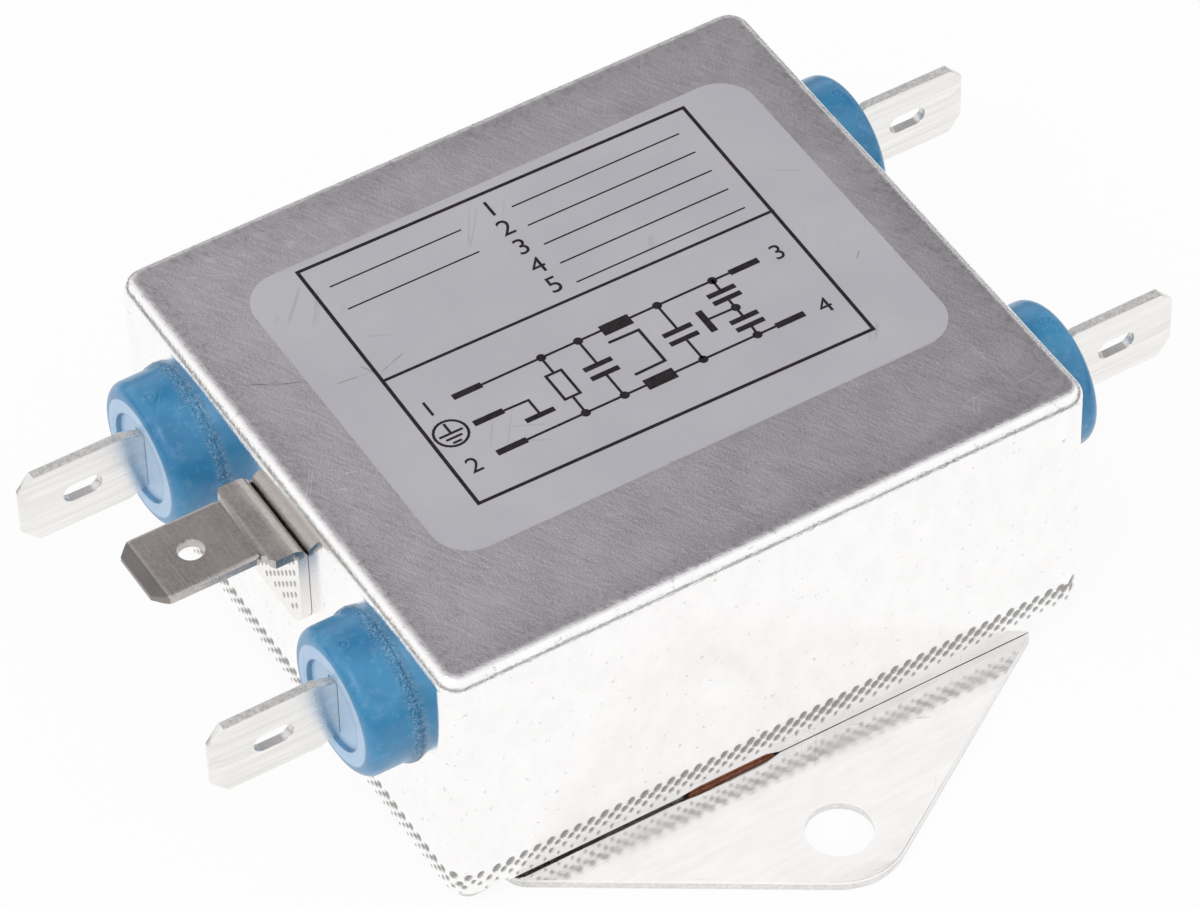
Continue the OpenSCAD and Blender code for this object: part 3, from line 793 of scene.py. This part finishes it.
# %% A lumpy foot, a round front edge and the recess
rng = random.Random(3)
for v in bmesh.from_edit_mesh(bush.data).verts:
    off_axis = math.hypot(v.co.y, v.co.z - TERM_Z * MM)
    if HALF_X - 0.01 < v.co.x / MM < HALF_X + 0.6 and off_axis > (BUSH_R + 0.03) * MM:
        swell = rng.uniform(0.985, 1.015)
        v.co.y, v.co.z = v.co.y * swell, (v.co.z - TERM_Z * MM) * swell + TERM_Z * MM
pick("EDGE", lambda e: abs(middle(e).x - HALF_X - BUSH_OUT) < 0.01)
bevel(1.0, 8)
turn_steps(BUSH_R - 1, 20, ((0, RECESS_R), (-RECESS_DEEP, 3.45), (0.05, 2.9)))
done()
print("bushing reaches", BUSH_OUT, "mm from the wall")

# %% Cut the slot and add the gate ring
PAST = HALF_X + 5.75                # cuts run well past the bushing
combine(bush, block("slot", (20, -0.45, TERM_Z - 2.55), (PAST, 0.45, TERM_Z + 2.55)))
combine(bush, block("nib_gap", (HALF_X + 2.35, -0.85, TERM_Z + 2), (PAST, 0, TERM_Z + 2.42)))
clear_bench()
bpy.ops.mesh.primitive_torus_add(
    major_segments=28, minor_segments=8, major_radius=0.42 * MM, minor_radius=0.09 * MM,
    location=mm(HALF_X + 2.6, 0, TERM_Z + BUSH_R - 0.03))
combine(bush, bpy.context.object, "UNION")
clear_bench()
bpy.ops.mesh.primitive_uv_sphere_add(
    segments=16, ring_count=8, radius=0.22 * MM,
    location=mm(HALF_X + 2.6, 0, TERM_Z + BUSH_R - 0.12))
combine(bush, bpy.context.object, "UNION")
soften(bush, 0.06, 2, 50)
close_up(bush)


# %% Four copies at the four terminals
TERMINALS = (("line_n", -1, 1), ("line_l", -1, -1), ("load_n", 1, 1), ("load_l", 1, -1))


def four_copies(model, name, finish, slot, node):
    """Copies with their own mesh, turned half round at the line end."""
    for end, side, row in TERMINALS:
        piece = bpy.data.objects.new(name + end, model.data.copy())
        piece.data.name = name + end
        bpy.context.scene.collection.objects.link(piece)
        turn = Matrix.Rotation(math.pi, 4, "Z") if side < 0 else Matrix.Identity(4)
        piece.data.transform(Matrix.Translation(mm(0, row * TERM_Y, 0)) @ turn)
        hand_over(piece, finish, slot, node + end)
    bpy.data.objects.remove(model)


four_copies(bush, "moulded_bushing_", bushing_blue, "bushing_blue", "bushing_")

# %% [markdown]
# ## The push-on tabs
# A tab is stamped from 0.8 mm brass strip and tinned. It is narrow in the bushing, widens to
# the standard 6.3 mm blade, and its tip is thinned and cornered so that the receptacle finds
# it. It is drawn out from a short block, and the long hole is cut with a stretched cylinder.

# %% Tinned strip with lengthwise streaks
tab_metal, tree, shader, place = new_finish("tab_metal", Metallic=1.0)
fine = grain_at(tree, place, 4200, 2)
rolled = grain_at(tree, place, 1800, 3, (0.03, 1, 1))
cloud = grain_at(tree, place, 350, 3)
tone = blend(tree, rolled, (0.80, 0.785, 0.76), (0.94, 0.93, 0.915))
tone = blend(tree, times(tree, cloud, 0.4), tone, (0.90, 0.885, 0.86))
xyz = split(tree, place)
off_y = apart(tree, apart(tree, xyz[1]), TERM_Y)
cut_edge = fade(tree, off_y, 0.30, 0.37, 1.0, 0.0)
far_out = apart(tree, xyz[0])
tip = HALF_X + 12.35
cut_edge = times(tree, cut_edge, fade(tree, far_out, tip - 0.1, tip + 0.1, 1.0, 0.0))
off_axis = apart(tree, xyz[2], TERM_Z)
cut_edge = times(tree, cut_edge, fade(tree, off_axis, 1.0, 1.3, 0.35, 1.0))
torn = blend(tree, fine, (0.50, 0.485, 0.47), (0.74, 0.72, 0.70))
tone = blend(tree, cut_edge, tone, torn)
tree.links.new(fade(tree, cut_edge, 0.0, 1.0, 1.0, 0.35), shader.inputs["Metallic"])
rough = swing(tree, cloud, 0.20, 0.12)
rough = plus(tree, rough, times(tree, cut_edge, 0.2))
feed(tree, shader, tone, rough)
bump(tree, shader, plus(tree, rolled, times(tree, fine, 0.4)), 0.006)

# %% Draw out one tab
tab = block("tab_model", (HALF_X - 5.5, -0.4, TERM_Z - 2), (HALF_X - 2.05, 0.4, TERM_Z + 2))
edit(tab)
# The reach of each step, then the height and the thickness before and after it
steps = ((0, 4.0, 5.0, 0.8, 0.8), (5.45, 5.0, 5.0, 0.8, 0.8), (1.7, 5.0, 6.3, 0.8, 0.8),
         (7.3, 6.3, 6.3, 0.8, 0.8), (1.2, 6.3, 3.9, 0.8, 0.4))
for reach, high, new_high, thick, new_thick in steps:
    far = max(v.co.x for v in bmesh.from_edit_mesh(tab.data).verts) / MM
    pick("FACE", lambda f: f.normal.x > 0.9 and middle(f).x > far - 0.01)
    draw_out(reach, 0, 0, (1, new_thick / thick, new_high / high), AXIS)
done()
print("tab drawn out to", round(max(v.co.x for v in tab.data.vertices) / MM, 2), "mm")

# %% Cut the long hole and the wire hole, and copy the tab
HOLE_X = HALF_X + 7.9
hole = rod("long_hole", (HOLE_X, 0, TERM_Z), 0.8, 3, "Y", 32)
edit(hole)
pick("VERT", lambda v: middle(v).x > HOLE_X + 0.01)
bpy.ops.transform.translate(value=mm(1.5, 0, 0))
combine(tab, hole)
combine(tab, rod("wire_hole", (HALF_X - 3.5, 0, TERM_Z), 0.7, 3, "Y", 32))
soften(tab, 0.07, 2, 25)
close_up(tab, 30)
four_copies(tab, "stamped_tab_", tab_metal, "tab_metal", "tab_")

# %% [markdown]
# ## The earth tab
# This tab is one bent strip. Its leg is fixed flat to the end wall and its blade stands out
# level. The leg is made first, its upper end is spun through a right angle for the bend, and
# the blade is drawn out from there. Relief notches keep the bend from tearing the shoulders.

# %% Grey plated strip
earth_metal, tree, shader, place = new_finish("earth_metal", Metallic=1.0)
fine = grain_at(tree, place, 3600, 2)
rubbed = grain_at(tree, place, 5200, 3, (1, 0.04, 1))
cloud = grain_at(tree, place, 300, 3)
hair = scratches_in(tree, place, 450)
xyz = split(tree, place)
blade = fade(tree, xyz[2], EARTH_TOP - 1.15, EARTH_TOP - 0.75)
tone = blend(tree, fine, (0.46, 0.43, 0.41), (0.57, 0.535, 0.51))
tone = blend(tree, times(tree, cloud, 0.3), tone, (0.60, 0.57, 0.54))
tone = blend(tree, times(tree, fade(tree, rubbed, 0.6, 1.0), 0.3), tone, (0.70, 0.67, 0.64))
out = apart(tree, xyz[0])
# Painted shade: the coined tip is darker.
tip = fade(tree, out, HALF_X + 10.3, HALF_X + 10.4, 0.0, 0.9)
tone = blend(tree, tip, tone, (0.24, 0.225, 0.22))
# Painted light and shade: the upright leg is much paler than the level blade of the same strip.
tone = blend(tree, blade, (0.92, 0.90, 0.88), tone)
mark = put(tree, "ShaderNodeAttribute", attribute_name="mark").outputs["Fac"]
tone = blend(tree, times(tree, mark, 0.6), tone, (0.22, 0.20, 0.20))
# Painted shade in the gap where the leg meets the wall.
root = fade(tree, out, HALF_X + 0.01, HALF_X + 0.05, 1.0, 0.0)
tone = blend(tree, root, tone, (0.10, 0.09, 0.09))
tone = blend(tree, times(tree, hair, 0.5), tone, (0.80, 0.78, 0.76))
feed(tree, shader, tone, swing(tree, cloud, 0.20, 0.12))
bump(tree, shader, plus(tree, rubbed, times(tree, fine, 0.4)), 0.003)

# %% Leg and bend
BEND_R = 1.1
earth = block("bent_earth_tab", (-HALF_X - 0.8, -4.1, LEG_FOOT),
              (-HALF_X, 4.1, EARTH_TOP - BEND_R))
edit(earth)
pick("EDGE", lambda e: span(e)[0] > 0.5 and abs(middle(e).z - LEG_FOOT) < 0.01)
bevel(1.8, 8)
pick("FACE", lambda f: f.normal.z > 0.9)
bpy.ops.mesh.spin(steps=8, angle=math.pi / 2, axis=(0, 1, 0),
                  center=mm(-HALF_X - BEND_R, 0, EARTH_TOP - BEND_R))
found = pick("FACE", lambda f: f.normal.x < -0.9 and middle(f).x < -HALF_X - BEND_R + 0.01
             and middle(f).z > EARTH_TOP - 0.81)
print("bend made,", found, "face at its end")

# %% Draw out the shoulders and the blade
def span_y(f):
    ys = [v.co.y / MM for v in f.verts]
    return max(ys) - min(ys)


about = (0, 0, EARTH_TOP - 0.4)
# The reach of each step, then the width and the thickness before and after it
steps = ((1.4, 8.2, 8.2, 0.8, 0.8), (0.7, 8.2, 6.3, 0.8, 0.8), (6.9, 6.3, 6.3, 0.8, 0.8),
         (0.25, 6.3, 6.3, 0.8, 0.72), (1.0, 6.3, 4.3, 0.72, 0.4))
for reach, wide, new_wide, thick, new_thick in steps:
    far = min(v.co.x for v in bmesh.from_edit_mesh(earth.data).verts) / MM
    pick("FACE", lambda f: f.normal.x < -0.9 and middle(f).x < far + 0.01)
    draw_out(-reach, 0, 0, (1, new_wide / wide, new_thick / thick), about)
for row in (-2.8, 2.8):
    pick("FACE", lambda f: middle(f).x < -HALF_X - 3.3 and span_y(f) > 5)
    bpy.ops.mesh.bisect(plane_co=mm(0, row, 0), plane_no=(0, 1, 0))
for way, under in ((1, EARTH_TOP - 0.1), (-1, EARTH_TOP - 0.7)):
    pick("VERT", lambda v: way * (middle(v).z - under) > 0 and abs(middle(v).y) > 3.1
         and 3.15 < -HALF_X - middle(v).x < 10.55)
    bpy.ops.transform.translate(value=mm(0, 0, -0.10 * way))
done()
print("blade drawn out,", len(earth.data.polygons), "faces")

# %% Cut the notches and the hole
for row in (-3.5, 3.5):
    combine(earth, rod("notch", (-HALF_X - 3.2, row, EARTH_TOP), 0.45, 3, "Z", 32))
combine(earth, rod("earth_hole", (-HALF_X - 6.95, 0, EARTH_TOP), 1.0, 3, "Z", 40))
soften(earth, 0.09, 2, 25)

# %% Small stake marks on the leg
marks = [(-3.35 + 0.62 * i, 18.3 - 1.15 * row - 0.59 * i) for row in range(6) for i in range(10)]
marks = [(y, z) for y, z in marks if z >= LEG_FOOT + 0.8 and abs(y) <= 3.5]
print(len(marks), "stake marks")
for y, z in marks:
    clear_bench()
    bpy.ops.mesh.primitive_ico_sphere_add(subdivisions=2, radius=0.2 * MM, scale=(0.3, 0.8, 1.5),
                                          location=mm(-HALF_X - 0.8, y, z))
    bpy.ops.object.transform_apply()
    dot = bpy.context.object
    mark = dot.data.attributes.new("mark", "FLOAT", "POINT")
    mark.data.foreach_set("value", [1.0] * len(dot.data.vertices))
    take(earth)
    dot.select_set(True)
    bpy.ops.object.join()
close_up(earth, 35)
hand_over(earth, earth_metal, "earth_metal", "earth_tab")

# %% [markdown]
# ## The label
# A silver-grey foil is stuck on the can. It carries a frame, plain numbers and the usual
# drawing of such a filter: a choke between two rows of capacitors. The foil is a thin block
# with round corners, and the print is a layer of its own that lies on it.

# %% Label foil
label_foil, tree, shader, place = new_finish("label_foil", IOR=1.45)
fine = grain_at(tree, place, 3000, 2)
cloud = grain_at(tree, place, 120, 3)
hair = scratches_in(tree, place, 300)
tone = blend(tree, cloud, (0.43, 0.422, 0.455), (0.465, 0.457, 0.488))
tone = blend(tree, times(tree, hair, 0.5), tone, (0.30, 0.29, 0.31))
creases = scratches_at(tree, place, ((-18.6, 5.4, -15.4, 5.0), (-16.1, 6.1, -15.1, 4.2),
                                     (-15.3, 4.6, -12.4, 5.6), (19.2, -3.9, 19.9, -3.1)))
tone = blend(tree, times(tree, creases, 0.7), tone, (0.22, 0.21, 0.22))
feed(tree, shader, tone, swing(tree, fine, 0.40, 0.10))
bump(tree, shader, calc(tree, "SUBTRACT", times(tree, fine, 0.3), hair), 0.004)

# %% Cut the foil
LABEL_X, LABEL_Y, FOIL_TOP = 1.05, 1.8, 23.585
HALF_L, HALF_W = 20.95, 15.4        # half the foil's length and width
foil = block("label_foil", (LABEL_X - HALF_L, LABEL_Y - HALF_W, TOP),
             (LABEL_X + HALF_L, LABEL_Y + HALF_W, FOIL_TOP))
edit(foil)
pick("EDGE", lambda e: span(e)[2] > 0.05)
bevel(3.0, 14)
pick("EDGE", lambda e: middle(e).z > FOIL_TOP - 0.001)
bevel(0.03, 2)
done()
close_up(foil)
hand_over(foil, label_foil, "label_foil", "rating_label")

# %% Printing ink
ink, tree, shader, place = new_finish("print_ink", IOR=1.3, Specular_IOR_Level=0.1)
fine = grain_at(tree, place, 2600, 3)
tone = blend(tree, fine, (0.020, 0.016, 0.018), (0.034, 0.028, 0.031))
feed(tree, shader, tone, swing(tree, fine, 0.6, 0.15))
bump(tree, shader, fine, 0.002)

# %% Print strokes, dots and numbers
INK_LOW, INK_TOP = FOIL_TOP - 0.004, 23.6
printed = []


def ink_level():
    """Each stroke lies a hair lower than the last, so no two tops share a plane."""
    return INK_TOP - 0.0005 * (len(printed) % 9)


def stroke(x1, y1, x2, y2, wide=0.2):
    """One printed line. A thin one runs on a little, to cover a corner where lines meet."""
    long = math.hypot(x2 - x1, y2 - y1) + (wide if wide < 0.4 else 0)
    line = block("stroke", (-long / 2, -wide / 2, INK_LOW), (long / 2, wide / 2, ink_level()))
    edit(line)
    pick("EDGE", lambda e: span(e)[2] > 0.005)
    bevel(0.04, 2)
    done()
    line.data.transform(Matrix.Translation(mm((x1 + x2) / 2, (y1 + y2) / 2, 0))
                        @ Matrix.Rotation(math.atan2(y2 - y1, x2 - x1), 4, "Z"))
    printed.append(line)


def outline(corners, wide):
    for (x1, y1), (x2, y2) in zip(corners, corners[1:] + corners[:1]):
        stroke(x1, y1, x2, y2, wide)


def dot(x, y, radius):
    top = ink_level()
    printed.append(rod("dot", (x, y, (INK_LOW + top) / 2), radius, top - INK_LOW, "Z", 20))


def number(text, x, y, size):
    clear_bench()
    bpy.ops.object.text_add(location=mm(x, y, (INK_LOW + INK_TOP) / 2))
    piece = bpy.context.object
    piece.data.body, piece.data.size = text, size * MM
    piece.data.extrude = (INK_TOP - INK_LOW) / 2 * MM
    piece.data.resolution_u = 4
    bpy.ops.object.convert(target="MESH")
    bpy.ops.object.transform_apply()
    printed.append(bpy.context.object)


# %% The frame, the numbered rows and the terminals' numbers
outline([(-15.65, -9.8), (-15.2, 16.4), (16.95, 16.0), (16.45, -10.3)], 0.28)
stroke(-15.3, 3.85, 16.75, 3.5, 0.25)
for row in range(5):
    y = 13.8 - 2.25 * row
    number(str(row + 1), -0.9, y, 2.3)
    stroke(1.2, y + 0.1, 15.2, y + 0.05, 0.13)
for row in range(2):
    stroke(-13.9, 13.9 - 2.6 * row, -3.2, 13.85 - 2.6 * row, 0.13)
for text, x, y in (("1", -14.6, -0.9), ("2", -14.6, -7.2), ("3", 14.3, -0.9), ("4", 14.3, -7.2)):
    number(text, x, y, 2.1)

# %% The filter's drawing
THIN, BAR, PLATE = 0.2, 0.55, 0.45
for y, bars, dots in ((-0.15, ((-12.06, -9.71), (10.8, 13.25)), (-4.83, -1.79, 4.76, 9.37)),
                      (-6.4, ((-12.15, -9.72), (10.78, 13.17)), (-4.94, -1.75, 4.74, 9.24))):
    stroke(bars[0][1], y, bars[1][0], y, THIN)
    for x1, x2 in bars:
        stroke(x1, y, x2, y, BAR)
    for x in dots:
        dot(x, y, 0.36)
stroke(0.1, -0.23, 2.5, -0.23, 1.05)
stroke(0.0, -6.4, 2.4, -6.4, 1.05)
for x1, y1, x2, y2 in ((0.05, -1.45, 2.4, -1.5), (2.4, -1.5, 2.4, -5.05), (2.4, -5.05, 0, -5.1)):
    stroke(x1, y1, x2, y2, 0.24)
outline([(-5.5, -4.53), (-5.5, -1.9), (-4.25, -1.9), (-4.25, -4.53)], 0.22)
stroke(-4.85, -0.15, -4.85, -1.9, THIN)
stroke(-4.9, -4.53, -4.92, -6.4, THIN)
for x, high, low, left, right in ((-1.8, -2.85, -3.85, -2.95, -0.65),
                                  (4.75, -3.0, -3.95, 3.5, 5.87)):
    stroke(x, -0.15, x, high, THIN)
    stroke(x, low, x, -6.4, THIN)
    for y in (high, low):
        stroke(left, y, right, y, PLATE)
stroke(9.37, -0.15, 9.35, -1.4, THIN)
stroke(9.35, -2.2, 9.35, -4.45, THIN)
stroke(9.35, -5.3, 9.25, -6.4, THIN)
for y in (-1.4, -2.2, -4.45, -5.3):
    stroke(8.2, y, 10.5, y, PLATE)
dot(9.37, -3.3, 0.36)
stroke(6.9, -2.2, 6.9, -4.5, BAR)
stroke(6.9, -3.25, 9.3, -3.3, THIN)
stroke(-12.1, -3.13, -9.7, -3.13, BAR)
stroke(-9.7, -3.15, -7.7, -3.2, THIN)
stroke(-7.7, -3.2, -7.7, -4.7, THIN)
stroke(-8.9, -4.86, -6.56, -4.86, PLATE)

# %% The earth sign in its ring
SIGN_X, SIGN_Y, SIGN_R = -13.9, -3.05, 1.25
turns = [a * math.pi / 12 for a in range(24)]
outline([(SIGN_X + SIGN_R * math.cos(a), SIGN_Y + SIGN_R * math.sin(a)) for a in turns], 0.2)
stroke(SIGN_X, -2.1, SIGN_X, SIGN_Y, 0.2)
for y, half in ((SIGN_Y, 0.85), (-3.5, 0.55), (-3.95, 0.25)):
    stroke(SIGN_X - half, y, SIGN_X + half, y, 0.2)

# %% Join the print into one layer
take(printed[0])
for line in printed:
    line.select_set(True)
bpy.ops.object.join()
print_layer = bpy.context.object
print_layer.name = print_layer.data.name = "label_print"
hand_over(print_layer, ink, "label_foil")

# %% [markdown]
# ## The insulating sheet and the parts inside
# The solids of the frame already have the right shape for what is hidden in the can: a ring
# core with two windings, capacitors, a resistor and leads. They stay as they are and get
# their own finishes. Only the tongue of the brown sheet shows, below the front wall.


# %% A finish for each hidden piece
def plain_finish(name, first, second, scale, rough, relief):
    """A two-tone finish with a fine relief, for pieces of one material."""
    finish, tree, shader, place = new_finish(name)
    spots = grain_at(tree, place, scale, 3)
    feed(tree, shader, blend(tree, spots, first, second), swing(tree, spots, rough, 0.12))
    bump(tree, shader, spots, relief)
    return finish


FINISHES = (
    ("sheet_brown", (0.34, 0.095, 0.035), (0.16, 0.045, 0.02), 2600, 0.55, 0.02,
     ("base_insulator",)),
    ("core_ferrite", (0.022, 0.022, 0.025), (0.05, 0.05, 0.055), 1800, 0.6, 0.01,
     ("choke_core",)),
    ("divider_plastic", (0.78, 0.76, 0.66), (0.70, 0.68, 0.58), 500, 0.4, 0.005,
     ("choke_divider",)),
    ("capacitor_yellow", (0.80, 0.55, 0.06), (0.70, 0.45, 0.04), 700, 0.35, 0.006,
     ("x_capacitor_line", "x_capacitor_load")),
    ("capacitor_blue", (0.03, 0.11, 0.38), (0.05, 0.16, 0.46), 900, 0.3, 0.01,
     ("y_capacitor_n", "y_capacitor_l")),
    ("resistor_beige", (0.55, 0.42, 0.22), (0.62, 0.50, 0.30), 900, 0.4, 0.006,
     ("discharge_resistor",)),
    ("lead_blue", (0.02, 0.09, 0.36), (0.03, 0.12, 0.42), 1200, 0.35, 0.004,
     ("lead_line_n", "lead_load_n")),
    ("lead_brown", (0.10, 0.04, 0.02), (0.14, 0.06, 0.03), 1200, 0.35, 0.004,
     ("lead_line_l", "lead_load_l")),
    ("lead_green", (0.10, 0.30, 0.04), (0.55, 0.50, 0.05), 500, 0.35, 0.004, ("earth_lead",)))


def cover(finish, nodes):
    """Gives solids of the frame a new finish."""
    for node in nodes:
        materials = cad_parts[node].data.materials
        materials.clear()
        materials.append(finish)


for *values, nodes in FINISHES:
    cover(plain_finish(*values), nodes)
print(len(FINISHES), "finishes on the hidden pieces")

# %% Enamelled wire for the windings
winding_copper, tree, shader, place = new_finish("winding_copper", Metallic=0.8, Roughness=0.3)
turned = put(tree, "ShaderNodeTexGradient", {"Vector": place}, gradient_type="RADIAL").outputs[0]
turns = calc(tree, "FRACT", times(tree, turned, 96.0))
ridge = calc(tree, "SINE", times(tree, turns, math.pi))
cloud = grain_at(tree, place, 400, 2)
# Painted shade between the turns and a painted highlight on their crests.
tone = blend(tree, ridge, (0.10, 0.03, 0.012), (0.62, 0.24, 0.09))
tone = blend(tree, times(tree, cloud, 0.2), tone, (0.45, 0.18, 0.07))
tree.links.new(tone, shader.inputs["Base Color"])
bump(tree, shader, ridge, 0.12)
cover(winding_copper, ("winding_n", "winding_l"))
print("copper finish on both windings")

# %% Print the size of the visual box
clear_bench()
low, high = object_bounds()
print("visual box in mm", [round((b - a) * 1000, 2) for a, b in zip(low, high)])
